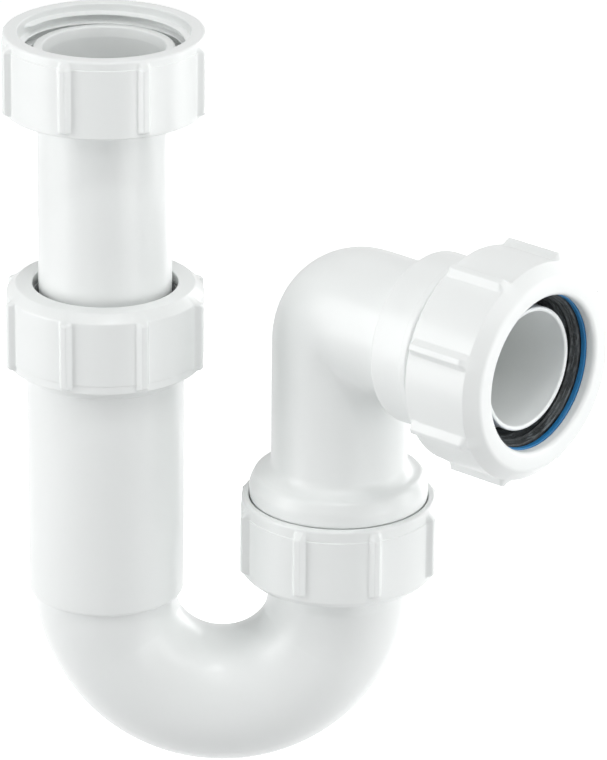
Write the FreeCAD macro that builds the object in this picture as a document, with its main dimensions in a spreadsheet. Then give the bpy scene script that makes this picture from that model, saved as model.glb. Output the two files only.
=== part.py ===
import FreeCAD, Part
import math
import os

import Sketcher

# Adjustable tubular P trap for a 1 1/4 in basin waste, in millimetres.
# The origin is the centre of the inlet nut's mouth, +Z points up along the inlet,
# and the trap's two legs lie in the XZ plane. The outlet is swivelled towards -Y.

SIZES = [
    # The route of the water
    ("leg_spacing", 58.0, "between the axes of the inlet leg and the outlet leg"),
    ("slip_nut_drop", 64.7, "inlet mouth down to the top of the compression nut"),
    ("bend_drop", 82.1, "top of the compression nut down to the centre of the U bend"),
    ("outlet_rise", 75.5, "centre of the U bend up to the outlet axis"),
    ("outlet_turn", 41.3, "degrees from +X that the outlet is swivelled to the front"),
    ("outlet_reach", 64.4, "outlet leg's axis to the outer face of the outlet nut"),
    # Clearances
    ("running_gap", 0.3, "between pieces that turn or slide on each other"),
    ("seal_gap", 0.1, "between a rubber seal and the tube that it grips"),
    ("thread_gap", 0.3, "between the plain cylinders that stand for two mating threads"),
    ("inlet_flange_gap", 0.4, "tail's flange to the crest of the inlet thread"),
    ("leg_flange_gap", 0.6, "outlet leg's flange to the crest of the swivel thread"),
    ("sleeve_gap", 0.4, "compression nut's hole to the seal's upper sleeve"),
    ("skirt_gap", 1.2, "elbow's skirt to the inner edge of the swivel nut's mouth"),
    # Nuts in general
    ("nut_lip", 2.8, "thickness of a nut's closed end"),
    ("nut_bevel", 0.8, "bevel of the closed end of the nuts that open upwards"),
    ("thread_lead_in", 1.5, "plain mouth of the nuts inside the trap"),
    ("thread_relief", 1.0, "how much wider than the thread that mouth is"),
    ("rib_height", 1.6, "how far the ribs stand out from the three nuts on the legs"),
    ("rib_stop", 2.3, "open end to the ribs on the nuts that open upwards"),
    ("slip_rib_stop", 0.7, "open end to the ribs on the two compression nuts"),
    ("rib_width", 3.9, "across a rib where it leaves the nut"),
    ("rib_crest", 2.1, "across the flat crest of a rib"),
    ("rib_hip", 1.7, "length of the sloped end of a rib"),
    ("rib_root", 0.6, "how far a rib is sunk in the wall of its nut"),
    ("rib_phase", 22.5, "degrees from the plane of the legs to a nut's first rib"),
    # Telescopic tail
    ("tail_radius", 16.4, "outside of the tail"),
    ("tail_wall", 1.95, "wall of the tail"),
    ("tail_length", 96.0, "rim of the spigot to the lower end"),
    ("tail_edge", 0.5, "bevel inside the rim and outside the lower end"),
    ("spigot_drop", 4.0, "inlet mouth down to the rim of the spigot"),
    ("spigot_step", 0.9, "how much wider than the tail the spigot above the flange is"),
    ("inlet_flange_width", 1.8, "spigot to the edge of the flange on the nut's closed end"),
    ("inlet_flange_thickness", 2.6, "of that flange"),
    ("washer_thickness", 3.0, "inlet washer"),
    # Inlet nut
    ("inlet_nut_height", 19.6, "along its axis"),
    ("inlet_lead_in", 1.9, "depth of the plain mouth for a pipe thread 41.91 mm across"),
    ("inlet_thread_depth", 1.5, "that mouth in to the crest of the thread"),
    ("inlet_nut_wall", 3.8, "that mouth out to the body of the nut"),
    # Compression joint of the height adjustment
    ("slip_nut_height", 20.6, "along its axis"),
    ("slip_nut_wall", 2.7, "crest of the compression nut's thread to the body of the nut"),
    ("slip_bevel", 2.2, "bevel round its flat top"),
    ("slip_ring_thickness", 1.6, "slip ring under the nut"),
    ("slip_sleeve_wall", 1.0, "wall of the seal's upper sleeve"),
    ("slip_sleeve_drop", 2.4, "top of the nut down to the top of that sleeve"),
    ("slip_flange_thickness", 1.8, "flange of the seal"),
    ("slip_wedge_length", 5.0, "tapered skirt of the seal"),
    ("slip_taper", 2.4, "how far the socket's mouth widens for that skirt"),
    # Trap body
    ("socket_wall", 2.8, "wall of the socket leg"),
    ("socket_draft", 0.15, "how much narrower its lower end is"),
    ("socket_collar", 0.3, "how far the collar under the thread stands proud"),
    ("slip_thread_rise", 2.1, "outside of the socket leg to the crest of the nut's thread"),
    ("collar_drop", 2.8, "compression nut's lower end down to the collar's"),
    ("pipe_stop", 2.0, "centre of the U bend up to the step that stops the tail"),
    ("stop_step", 1.9, "width of that step"),
    ("bend_wall", 2.3, "wall of the U bend's tube"),
    ("leg_flange_width", 3.9, "tube to the edge of the flange that holds the swivel nut"),
    ("leg_flange_thickness", 3.0, "of that flange"),
    # Swivel joint
    ("swivel_rise", 5.1, "centre of the U bend up to the swivel nut's closed end"),
    ("swivel_nut_height", 19.7, "along its axis"),
    ("swivel_nut_wall", 2.8, "crest of its thread to the body of the nut"),
    ("swivel_mouth_step", 0.8, "crest of its thread to the inner edge of its mouth"),
    ("swivel_seal_thickness", 2.2, "flat seal under the elbow"),
    # Outlet elbow
    ("elbow_bore", 14.2, "inside of the elbow"),
    ("elbow_wall", 2.8, "wall of the elbow's tubes"),
    ("elbow_knuckle", 8.6, "centre line radius of its tight bend"),
    ("skirt_belly", 1.2, "how far the corner of the skirt's belly stands out from its foot"),
    ("skirt_belly_rise", 4.2, "swivel nut's rim up to that corner"),
    ("skirt_shoulder", 0.8, "how far the corner of its shoulder is drawn in from its foot"),
    ("skirt_shoulder_rise", 7.9, "swivel nut's rim up to that corner"),
    ("skirt_top_rise", 10.5, "swivel nut's rim up to the top of the skirt"),
    ("skirt_round", 5.5, "rounding of belly and shoulder"),
    ("outlet_spigot_wall", 1.2, "wall of the inner spigot"),
    ("outlet_spigot_drop", 5.2, "nut's outer face back to the spigot's rim"),
    ("waste_pipe_room", 3.0, "for the waste pipe between the spigot and its socket"),
    ("outlet_socket_stop", 30.0, "outlet leg's axis to the step that stops the waste pipe"),
    ("outlet_socket_wall", 3.2, "wall of the outlet socket"),
    ("collar_start", 27.7, "outlet leg's axis to the shoulder of the outlet collar"),
    ("collar_round", 3.2, "rounding of its shoulder"),
    ("bead_height", 0.5, "how far the bead at the end of the outlet thread stands proud"),
    ("bead_width", 2.2, "of that bead"),
    ("bead_gap", 3.6, "bead to the outlet nut"),
    ("outlet_thread_rise", 2.4, "outside of the collar to the crest of the nut's thread"),
    # Outlet nut and its seal
    ("outlet_nut_height", 20.8, "along its axis"),
    ("outlet_nut_wall", 3.1, "crest of its thread to the body of the nut"),
    ("outlet_bevel", 3.1, "bevel round its flat face"),
    ("outlet_rib_height", 1.8, "how far its ribs stand out"),
    ("outlet_rib_phase", 25.0, "degrees from upright to its first rib"),
    ("outlet_hole_step", 1.0, "outlet socket out to the edge of the nut's hole"),
    ("outlet_ring_lip", 0.3, "how far the blue slip ring stands into that hole"),
    ("outlet_ring_thickness", 1.2, "of that ring"),
    ("outlet_seal_lip", 0.8, "how far the front of the outlet seal stands into that hole"),
    ("outlet_seal_flange", 1.6, "thickness of the seal's flange"),
    ("outlet_seal_throat", 1.2, "inner spigot to the back of the seal"),
    ("outlet_seal_ridge", 0.45, "height of the ridges inside it"),
    ("outlet_wedge_length", 6.5, "tapered skirt of the seal"),
    ("outlet_taper", 1.8, "how far the outlet socket's mouth widens for that skirt"),
]

RIB_COUNT = 8
RIDGE_COUNT = 4
FULL_TURN = 360.0
HALF_TURN = 180.0
QUARTER_TURN = 90.0
SKETCH_ORIGIN = (-1, 1)
UPRIGHT = FreeCAD.Vector(0, 0, 1)


class Size:
    """A length with its present value and the expression that keeps it in the document."""

    def __init__(self, value, text):
        self.value = float(value)
        self.text = text

    def __add__(self, other):
        other = as_size(other)
        return Size(self.value + other.value, "(%s + %s)" % (self.text, other.text))

    def __sub__(self, other):
        other = as_size(other)
        return Size(self.value - other.value, "(%s - %s)" % (self.text, other.text))

    def __mul__(self, factor):
        return Size(self.value * factor, "(%s * %s)" % (self.text, float(factor)))

    def __neg__(self):
        return Size(-self.value, "(0 - %s)" % self.text)


def as_size(value):
    """A plain number becomes a Size, and a Size stays as it is."""
    if isinstance(value, Size):
        return value
    return Size(value, repr(float(value)))


def third_side(hypotenuse, side):
    """The third side of a right triangle."""
    value = math.sqrt(hypotenuse.value ** 2 - side.value ** 2)
    return Size(value, "sqrt(%s ^ 2 - %s ^ 2)" % (hypotenuse.text, side.text))


class Sizes:
    """The driving dimensions by name, each with an expression that points at its cell."""

    def __init__(self, document):
        sheet = document.addObject("Spreadsheet::Sheet", "Sizes")
        for row, (alias, value, note) in enumerate(SIZES, start=1):
            sheet.set("A%d" % row, alias)
            sheet.set("B%d" % row, str(value))
            sheet.set("C%d" % row, note)
            sheet.setAlias("B%d" % row, alias)
            setattr(self, alias, Size(value, "Sizes." + alias))
        document.recompute()


document = FreeCAD.newDocument("adjustable_p_trap")
size = Sizes(document)
nodes = []


# Helpers for bodies and sketches

def origin_feature(body, role):
    """One of a body's own origin planes or axes."""
    for feature in body.Origin.OriginFeatures:
        if feature.Role == role:
            return feature
    raise ValueError("no origin feature " + role)


def new_body(label, across=None, up=None, turn=None):
    """A body placed at (across, 0, up) and turned about the upright."""
    body = document.addObject("PartDesign::Body", label)
    body.Label = label
    if across is not None:
        body.setExpression("Placement.Base.x", across.text)
    if up is not None:
        body.setExpression("Placement.Base.z", up.text)
    if turn is not None:
        body.Placement = FreeCAD.Placement(FreeCAD.Vector(), FreeCAD.Rotation(UPRIGHT, turn.value))
        body.setExpression("Placement.Rotation.Angle", turn.text)
    nodes.append(body)
    return body


def new_sketch(body, name, plane="XZ_Plane", offset=None):
    """A sketch on one of the body's planes, moved out of that plane by offset."""
    support = origin_feature(body, plane) if isinstance(plane, str) else plane
    sketch = body.newObject("Sketcher::SketchObject", name)
    sketch.AttachmentSupport = [(support, "")]
    sketch.MapMode = "FlatFace"
    if offset is not None:
        sketch.setExpression("AttachmentOffset.Base.z", offset.text)
    return sketch


def hold(sketch, constraint, driver):
    """Adds a constraint and ties it to a size."""
    index = sketch.addConstraint(constraint)
    sketch.setExpression("Constraints[%d]" % index, driver.text)


def place_point(sketch, geometry, point, corner):
    """Ties a point of the sketch to a corner, both ways from the sketch's origin."""
    for kind, distance in zip(("DistanceX", "DistanceY"), corner):
        constraint = Sketcher.Constraint(kind, *SKETCH_ORIGIN, geometry, point, distance.value)
        hold(sketch, constraint, distance)


def circle(sketch, across, up, radius):
    """A circle whose centre and radius follow their sizes."""
    centre = (as_size(across), as_size(up))
    at = FreeCAD.Vector(centre[0].value, centre[1].value, 0)
    index = sketch.addGeometry(Part.Circle(at, UPRIGHT, radius.value), False)
    place_point(sketch, index, 3, centre)
    hold(sketch, Sketcher.Constraint("Radius", index, radius.value), radius)


def tangent_points(before, corner, after, radius):
    """Where a rounding of that radius leaves the two sides of a corner, and its middle."""
    back = (before - corner).normalize()
    ahead = (after - corner).normalize()
    half = back.getAngle(ahead) / 2
    bisector = (back + ahead).normalize()
    setback = radius / math.tan(half)
    depth = radius / math.sin(half) - radius
    return corner + back * setback, corner + bisector * depth, corner + ahead * setback


def outline(sketch, corners):
    """A closed outline. A corner is (across, up), or (across, up, rounding)."""
    corners = [tuple(as_size(value) for value in corner) for corner in corners]
    spots = [FreeCAD.Vector(corner[0].value, corner[1].value, 0) for corner in corners]
    count = len(corners)
    starts = list(spots)
    ends = list(spots)
    middles = [None] * count
    for number, corner in enumerate(corners):
        if len(corner) == 3:
            after = spots[(number + 1) % count]
            ends[number], middles[number], starts[number] = tangent_points(
                spots[number - 1], spots[number], after, corner[2].value)
    sides = []
    for number in range(count):
        run = Part.LineSegment(starts[number], ends[(number + 1) % count])
        sides.append(sketch.addGeometry(run, False))
    for number, corner in enumerate(corners):
        before = sides[number - 1]
        after = sides[number]
        if len(corner) == 2:
            sketch.addConstraint(Sketcher.Constraint("Coincident", before, 2, after, 1))
            place_point(sketch, after, 1, corner)
            continue
        arc = sketch.addGeometry(Part.Arc(ends[number], middles[number], starts[number]), False)
        forward = sketch.getPoint(arc, 1).isEqual(ends[number], 1e-6)
        first, last = (1, 2) if forward else (2, 1)
        sketch.addConstraint(Sketcher.Constraint("Tangent", before, 2, arc, first))
        sketch.addConstraint(Sketcher.Constraint("Tangent", arc, last, after, 1))
        hold(sketch, Sketcher.Constraint("Radius", arc, corner[2].value), corner[2])
        mark = sketch.addGeometry(Part.Point(spots[number]), True)
        place_point(sketch, mark, 1, corner[:2])
        sketch.addConstraint(Sketcher.Constraint("PointOnObject", mark, 1, before))
        sketch.addConstraint(Sketcher.Constraint("PointOnObject", mark, 1, after))


def turned(body, name, corners, axis="V_Axis", cut=False):
    """A full revolution, or a groove, of an outline about one of its sketch's axes."""
    sketch = new_sketch(body, name + "_outline")
    outline(sketch, corners)
    feature = body.newObject("PartDesign::Groove" if cut else "PartDesign::Revolution", name)
    feature.Profile = sketch
    feature.ReferenceAxis = (sketch, [axis])
    feature.Angle = FULL_TURN
    return feature


def column(body, name, across, radius, bottom, top, cut=False):
    """A round column, or a round bore, between two levels."""
    sketch = new_sketch(body, name + "_circle", "XY_Plane", offset=bottom)
    circle(sketch, across, 0, radius)
    feature = body.newObject("PartDesign::Pocket" if cut else "PartDesign::Pad", name)
    feature.Profile = sketch
    feature.Reversed = cut
    feature.setExpression("Length", (top - bottom).text)
    return feature


def swung(body, name, sketch, angle, cut=False, reverse=False):
    """A sketch swung about its first construction line."""
    feature = body.newObject("PartDesign::Groove" if cut else "PartDesign::Revolution", name)
    feature.Profile = sketch
    feature.ReferenceAxis = (sketch, ["Axis0"])
    feature.Angle = angle
    feature.Reversed = reverse
    return feature


def pivot_line(sketch, across, reach):
    """A construction line along the sketch's second axis, to swing the sketch about."""
    ends = (FreeCAD.Vector(across.value, reach.value, 0), FreeCAD.Vector(across.value, -reach.value, 0))
    line = sketch.addGeometry(Part.LineSegment(*ends), True)
    place_point(sketch, line, 1, (across, reach))
    place_point(sketch, line, 2, (across, -reach))


# Radii of the inlet, out from the tail

tail_bore = size.tail_radius - size.tail_wall
spigot_radius = size.tail_radius + size.spigot_step
inlet_flange_radius = spigot_radius + size.inlet_flange_width
inlet_thread_radius = inlet_flange_radius + size.inlet_flange_gap
inlet_mouth_radius = inlet_thread_radius + size.inlet_thread_depth
inlet_nut_radius = inlet_mouth_radius + size.inlet_nut_wall

# Radii of the socket and of the compression joint

socket_bore = size.tail_radius + size.running_gap
socket_radius = socket_bore + size.socket_wall
slip_thread_radius = socket_radius + size.slip_thread_rise
male_slip_radius = slip_thread_radius - size.thread_gap
slip_nut_radius = slip_thread_radius + size.slip_nut_wall
slip_seal_bore = size.tail_radius + size.seal_gap
slip_sleeve_radius = slip_seal_bore + size.slip_sleeve_wall

# Radii of the U bend and of the swivel joint

bend_bore = socket_bore - size.stop_step
bend_radius = bend_bore + size.bend_wall
leg_flange_radius = bend_radius + size.leg_flange_width
swivel_thread_radius = leg_flange_radius + size.leg_flange_gap
swivel_mouth_radius = swivel_thread_radius + size.swivel_mouth_step
swivel_nut_radius = swivel_thread_radius + size.swivel_nut_wall

# Radii of the outlet, out from the elbow's bore

elbow_radius = size.elbow_bore + size.elbow_wall
outlet_spigot_radius = size.elbow_bore + size.outlet_spigot_wall
outlet_socket_radius = outlet_spigot_radius + size.waste_pipe_room
collar_radius = outlet_socket_radius + size.outlet_socket_wall
outlet_thread_radius = collar_radius + size.outlet_thread_rise
male_outlet_radius = outlet_thread_radius - size.thread_gap
outlet_nut_radius = outlet_thread_radius + size.outlet_nut_wall
outlet_hole_radius = outlet_socket_radius + size.outlet_hole_step

# Levels that several pieces share, up from the inlet mouth

slip_top = -size.slip_nut_drop
bend_level = slip_top - size.bend_drop
tail_rim = -size.spigot_drop
tail_end = tail_rim - size.tail_length
tail_flange = size.nut_lip + size.running_gap - size.inlet_nut_height
washer_seat = tail_flange + size.inlet_flange_thickness

slip_ring_top = slip_top - size.nut_lip - size.running_gap
slip_ring_bottom = slip_ring_top - size.slip_ring_thickness
slip_seal_top = slip_ring_bottom - size.running_gap
slip_seal_seat = slip_seal_top - size.slip_flange_thickness
socket_mouth = slip_seal_seat - size.running_gap
slip_nut_mouth = slip_top - size.slip_nut_height

# Levels of the swivel joint, up from the centre of the U bend

leg_flange_seat = size.swivel_rise + size.nut_lip + size.running_gap
leg_top = leg_flange_seat + size.leg_flange_thickness
swivel_seal_seat = leg_top + size.running_gap
swivel_seal_top = swivel_seal_seat + size.swivel_seal_thickness
elbow_foot = swivel_seal_top + size.running_gap
swivel_rim = size.swivel_rise + size.swivel_nut_height

# Stations of the outlet, out from the outlet leg's axis

outlet_nut_mouth = size.outlet_reach - size.outlet_nut_height
outlet_ring_front = size.outlet_reach - size.nut_lip - size.running_gap
outlet_ring_back = outlet_ring_front - size.outlet_ring_thickness
outlet_seal_front = outlet_ring_back - size.running_gap
outlet_seal_seat = outlet_seal_front - size.outlet_seal_flange
outlet_socket_front = outlet_seal_seat - size.running_gap
outlet_spigot_rim = size.outlet_reach - size.outlet_spigot_drop


class Nut:
    """The radii and heights of a ribbed nut, measured from its closed end."""

    def __init__(self, radius, rib_height, height, hole, thread, mouth, lead_in, bevel):
        self.radius = radius
        self.rib_radius = radius + rib_height
        self.height = height
        self.hole = hole
        self.thread = thread
        self.mouth = mouth
        self.lead_in = lead_in
        self.bevel = bevel

    def section(self):
        """Corners of the half section as (radius, height)."""
        return [
            (self.hole, as_size(0)),
            (self.radius - self.bevel, as_size(0)),
            (self.radius, self.bevel),
            (self.radius, self.height),
            (self.mouth, self.height),
            (self.mouth, self.height - self.lead_in),
            (self.thread, self.height - self.lead_in),
            (self.thread, size.nut_lip),
            (self.hole, size.nut_lip),
        ]


def build_nut(body, nut, base, facing, axis, phase, rib_to):
    """A nut whose closed end stands at base on the given axis and opens towards facing.
    Its ribs run from its bevel to rib_to above the closed end."""

    def spot(radius, height):
        """A corner in the sketch plane that holds the axis."""
        along = base + height * facing
        return (radius, along) if axis == "Z" else (along, radius)

    corners = [spot(radius, height) for radius, height in nut.section()]
    turned(body, "shell", corners, "V_Axis" if axis == "Z" else "H_Axis")

    plane = body.newObject("PartDesign::Plane", "rib_plane")
    plane.AttachmentSupport = [(origin_feature(body, "YZ_Plane" if axis == "Z" else "XY_Plane"), "")]
    plane.MapMode = "FlatFace"
    spin = FreeCAD.Vector(0, 1, 0) if axis == "Z" else FreeCAD.Vector(1, 0, 0)
    plane.AttachmentOffset = FreeCAD.Placement(FreeCAD.Vector(), FreeCAD.Rotation(spin, phase.value))
    plane.setExpression("AttachmentOffset.Rotation.Angle", phase.text)

    def rectangle(name, radius, width, low, high):
        """A rectangle across the rib at one distance from the axis."""
        sketch = new_sketch(body, name, plane, offset=radius)
        half = width * 0.5
        low = base + low * facing
        high = base + high * facing
        corners = [(-half, low), (half, low), (half, high), (-half, high)]
        if axis == "X":
            corners = [(up, across) for across, up in corners]
        outline(sketch, corners)
        return sketch

    foot = rectangle("rib_foot", nut.radius - size.rib_root, size.rib_width, nut.bevel, rib_to)
    crest_low = nut.bevel + size.rib_hip
    crest_high = rib_to - size.rib_hip
    crest = rectangle("rib_crest", nut.rib_radius, size.rib_crest, crest_low, crest_high)
    rib = body.newObject("PartDesign::AdditiveLoft", "rib")
    rib.Profile = foot
    rib.Sections = [crest]
    rib.Ruled = True
    pattern = body.newObject("PartDesign::PolarPattern", "ribs")
    pattern.Originals = [rib]
    pattern.Axis = (origin_feature(body, "Z_Axis" if axis == "Z" else "X_Axis"), [""])
    pattern.Angle = FULL_TURN
    pattern.Occurrences = RIB_COUNT
    body.Tip = pattern


# The inlet: nut, tail and washer

def inlet_nut():
    """The nut that screws on the basin waste, open upwards."""
    nut = Nut(
        radius=inlet_nut_radius,
        rib_height=size.rib_height,
        height=size.inlet_nut_height,
        hole=size.tail_radius + size.running_gap,
        thread=inlet_thread_radius,
        mouth=inlet_mouth_radius,
        lead_in=size.inlet_lead_in,
        bevel=size.nut_bevel,
    )
    body = new_body("inlet_nut")
    rib_to = nut.height - size.rib_stop
    build_nut(body, nut, -nut.height, 1, "Z", size.rib_phase, rib_to)


def inlet_tail():
    """The tube that telescopes in the socket, with the flange that the inlet nut lifts."""
    body = new_body("inlet_tail")
    turned(body, "tube", [
        (tail_bore, tail_end),
        (size.tail_radius - size.tail_edge, tail_end),
        (size.tail_radius, tail_end + size.tail_edge),
        (size.tail_radius, tail_flange),
        (inlet_flange_radius, tail_flange),
        (inlet_flange_radius, washer_seat),
        (spigot_radius, washer_seat),
        (spigot_radius, tail_rim),
        (tail_bore + size.tail_edge, tail_rim),
        (tail_bore, tail_rim - size.tail_edge),
    ])


def inlet_washer():
    """The flat washer round the spigot, on the tail's flange."""
    body = new_body("inlet_washer")
    inside = spigot_radius + size.seal_gap
    washer_top = washer_seat + size.washer_thickness
    turned(body, "ring", [
        (inside, washer_seat),
        (inlet_flange_radius, washer_seat),
        (inlet_flange_radius, washer_top),
        (inside, washer_top),
    ])


# The compression joint of the height adjustment

def compression_nut():
    """The nut that squeezes the slip seal on the tail, open downwards."""
    nut = Nut(
        radius=slip_nut_radius,
        rib_height=size.rib_height,
        height=size.slip_nut_height,
        hole=slip_sleeve_radius + size.sleeve_gap,
        thread=slip_thread_radius,
        mouth=slip_thread_radius + size.thread_relief,
        lead_in=size.thread_lead_in,
        bevel=size.slip_bevel,
    )
    body = new_body("compression_nut")
    rib_to = nut.height - size.slip_rib_stop
    build_nut(body, nut, slip_top, -1, "Z", size.rib_phase, rib_to)


def slip_ring():
    """The ring that lets the compression nut turn without twisting the seal."""
    body = new_body("slip_ring")
    inside = slip_sleeve_radius + size.running_gap
    outside = male_slip_radius
    turned(body, "ring", [
        (inside, slip_ring_bottom),
        (outside, slip_ring_bottom),
        (outside, slip_ring_top),
        (inside, slip_ring_top),
    ])


def slip_seal():
    """The wedge seal that grips the tail: sleeve, flange and tapered skirt."""
    body = new_body("slip_seal")
    inside = slip_seal_bore
    sleeve_top = slip_top - size.slip_sleeve_drop
    skirt_end = slip_seal_seat - size.slip_wedge_length
    skirt_wide = socket_bore + size.slip_taper - size.running_gap
    skirt_narrow = inside + size.seal_gap
    turned(body, "ring", [
        (inside, skirt_end),
        (skirt_narrow, skirt_end),
        (skirt_wide, slip_seal_seat),
        (male_slip_radius, slip_seal_seat),
        (male_slip_radius, slip_seal_top),
        (slip_sleeve_radius, slip_seal_top),
        (slip_sleeve_radius, sleeve_top),
        (inside, sleeve_top),
    ])


# The trap body and the swivel joint

def trap_body():
    """Socket, U bend and outlet leg in one moulding, from the centre of the U bend."""
    body = new_body("trap_body", up=bend_level)
    mouth = socket_mouth - bend_level
    nut_mouth = slip_nut_mouth - bend_level
    collar_bottom = nut_mouth - size.collar_drop
    thread_bottom = nut_mouth + size.thread_lead_in
    collar = socket_radius + size.socket_collar
    turned(body, "socket", [
        (0, 0),
        (socket_radius - size.socket_draft, 0),
        (socket_radius, collar_bottom),
        (collar, collar_bottom),
        (collar, thread_bottom),
        (male_slip_radius, thread_bottom),
        (male_slip_radius, mouth),
        (0, mouth),
    ])

    bend_centre = size.leg_spacing * 0.5
    tube = new_sketch(body, "bend_circle", "XY_Plane")
    circle(tube, 0, 0, bend_radius)
    pivot_line(tube, bend_centre, bend_radius)
    swung(body, "bend", tube, HALF_TURN)
    column(body, "outlet_leg", size.leg_spacing, bend_radius, as_size(0), leg_top)
    column(body, "leg_flange", size.leg_spacing, leg_flange_radius, leg_flange_seat, leg_top)

    taper_end = mouth - size.slip_wedge_length - size.running_gap
    turned(body, "socket_bore", [
        (0, 0),
        (bend_bore, 0),
        (bend_bore, size.pipe_stop),
        (socket_bore, size.pipe_stop + size.running_gap),
        (socket_bore, taper_end),
        (socket_bore + size.slip_taper, mouth),
        (0, mouth),
    ], cut=True)
    bore = new_sketch(body, "bend_bore_circle", "XY_Plane")
    circle(bore, 0, 0, bend_bore)
    pivot_line(bore, bend_centre, bend_radius)
    swung(body, "bend_bore", bore, HALF_TURN, cut=True)
    column(body, "leg_bore", size.leg_spacing, bend_bore, as_size(0), leg_top, cut=True)


def swivel_nut():
    """The nut that the outlet leg's flange holds, open upwards."""
    nut = Nut(
        radius=swivel_nut_radius,
        rib_height=size.rib_height,
        height=size.swivel_nut_height,
        hole=bend_radius + size.running_gap,
        thread=swivel_thread_radius,
        mouth=swivel_mouth_radius,
        lead_in=size.thread_lead_in,
        bevel=size.nut_bevel,
    )
    body = new_body("swivel_nut", across=size.leg_spacing, up=bend_level)
    rib_to = nut.height - size.rib_stop
    build_nut(body, nut, size.swivel_rise, 1, "Z", size.rib_phase, rib_to)


def swivel_seal():
    """The flat seal between the outlet leg's flange and the elbow."""
    body = new_body("swivel_seal", across=size.leg_spacing, up=bend_level)
    turned(body, "ring", [
        (bend_bore, swivel_seal_seat),
        (leg_flange_radius, swivel_seal_seat),
        (leg_flange_radius, swivel_seal_top),
        (bend_bore, swivel_seal_top),
    ])


# The outlet elbow and its compression joint, from where the elbow's two axes cross

def outlet_body(label):
    """A body whose X axis is the outlet axis."""
    return new_body(label, across=size.leg_spacing, up=bend_level + size.outlet_rise, turn=-size.outlet_turn)


def knuckle(body, name, radius, cut=False):
    """A quarter turn of the part of a tube that lies outside the knuckle's pivot."""
    sketch = new_sketch(body, name + "_section", "XY_Plane", offset=-size.elbow_knuckle)
    pivot = size.elbow_knuckle
    reach = third_side(radius, pivot)
    top = FreeCAD.Vector(pivot.value, reach.value, 0)
    bottom = FreeCAD.Vector(pivot.value, -reach.value, 0)
    arc = sketch.addGeometry(Part.Arc(top, FreeCAD.Vector(-radius.value, 0, 0), bottom), False)
    sketch.addConstraint(Sketcher.Constraint("Coincident", arc, 3, *SKETCH_ORIGIN))
    hold(sketch, Sketcher.Constraint("Radius", arc, radius.value), radius)
    chord = sketch.addGeometry(Part.LineSegment(bottom, top), False)
    sketch.addConstraint(Sketcher.Constraint("Coincident", arc, 2, chord, 1))
    sketch.addConstraint(Sketcher.Constraint("Coincident", arc, 1, chord, 2))
    sketch.addConstraint(Sketcher.Constraint("Vertical", chord))
    hold(sketch, Sketcher.Constraint("DistanceX", *SKETCH_ORIGIN, chord, 1, pivot.value), pivot)
    pivot_line(sketch, pivot, radius)
    return swung(body, name, sketch, QUARTER_TURN, cut, reverse=True)


def outlet_elbow():
    """Threaded foot, domed skirt, tight elbow, collar, thread and inner spigot in one moulding."""
    body = outlet_body("outlet_elbow")
    foot = elbow_foot - size.outlet_rise
    rim = swivel_rim - size.outlet_rise
    male_foot = swivel_thread_radius - size.thread_gap
    skirt_foot = swivel_mouth_radius - size.skirt_gap
    turned(body, "riser", [
        (0, foot),
        (male_foot, foot),
        (male_foot, rim - size.thread_lead_in),
        (skirt_foot, rim - size.thread_lead_in),
        (skirt_foot, rim),
        (skirt_foot + size.skirt_belly, rim + size.skirt_belly_rise, size.skirt_round),
        (skirt_foot - size.skirt_shoulder, rim + size.skirt_shoulder_rise, size.skirt_round),
        (elbow_radius, rim + size.skirt_top_rise),
        (elbow_radius, -size.elbow_knuckle),
        (0, -size.elbow_knuckle),
    ])
    bead_end = outlet_nut_mouth - size.bead_gap
    bead_start = bead_end - size.bead_width
    bead_radius = collar_radius + size.bead_height
    turned(body, "arm", [
        (size.elbow_knuckle, 0),
        (size.elbow_knuckle, elbow_radius),
        (size.collar_start, elbow_radius),
        (size.collar_start, collar_radius, size.collar_round),
        (bead_start, collar_radius),
        (bead_start, bead_radius),
        (bead_end, bead_radius),
        (bead_end, collar_radius),
        (outlet_nut_mouth + size.thread_lead_in, collar_radius),
        (outlet_nut_mouth + size.thread_lead_in, male_outlet_radius),
        (outlet_socket_front, male_outlet_radius),
        (outlet_socket_front, outlet_spigot_radius),
        (outlet_spigot_rim, outlet_spigot_radius),
        (outlet_spigot_rim, 0),
    ], "H_Axis")
    knuckle(body, "corner", elbow_radius)

    column(body, "riser_bore", 0, size.elbow_bore, foot, -size.elbow_knuckle, cut=True)
    turned(body, "arm_bore", [
        (size.elbow_knuckle, 0),
        (size.elbow_knuckle, size.elbow_bore),
        (outlet_spigot_rim, size.elbow_bore),
        (outlet_spigot_rim, 0),
    ], "H_Axis", cut=True)
    knuckle(body, "corner_bore", size.elbow_bore, cut=True)
    taper_end = outlet_socket_front - size.outlet_wedge_length
    turned(body, "outlet_socket", [
        (size.outlet_socket_stop, outlet_spigot_radius),
        (size.outlet_socket_stop, outlet_socket_radius),
        (taper_end, outlet_socket_radius),
        (outlet_socket_front, outlet_socket_radius + size.outlet_taper),
        (outlet_socket_front, outlet_spigot_radius),
    ], "H_Axis", cut=True)


def outlet_seal():
    """The wedge seal of the outlet, ridged inside to grip the waste pipe."""
    body = outlet_body("outlet_seal")
    back = outlet_seal_seat - size.outlet_wedge_length
    wide = outlet_socket_radius + size.outlet_taper - size.running_gap
    narrow = outlet_socket_radius - size.running_gap
    outside = male_outlet_radius - size.running_gap
    throat = outlet_spigot_radius + size.outlet_seal_throat
    mouth = outlet_hole_radius - size.outlet_seal_lip
    corners = [
        (back, throat),
        (back, narrow),
        (outlet_seal_seat, wide),
        (outlet_seal_seat, outside),
        (outlet_seal_front, outside),
        (outlet_seal_front, mouth),
    ]
    length = outlet_seal_front - back
    flare = mouth - throat
    for ridge in range(RIDGE_COUNT - 1, 0, -1):
        share = ridge / RIDGE_COUNT
        radius = throat + flare * share
        corners.append((back + length * share, radius - size.outlet_seal_ridge))
        corners.append((back + length * share, radius))
    turned(body, "ring", corners, "H_Axis")


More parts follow.
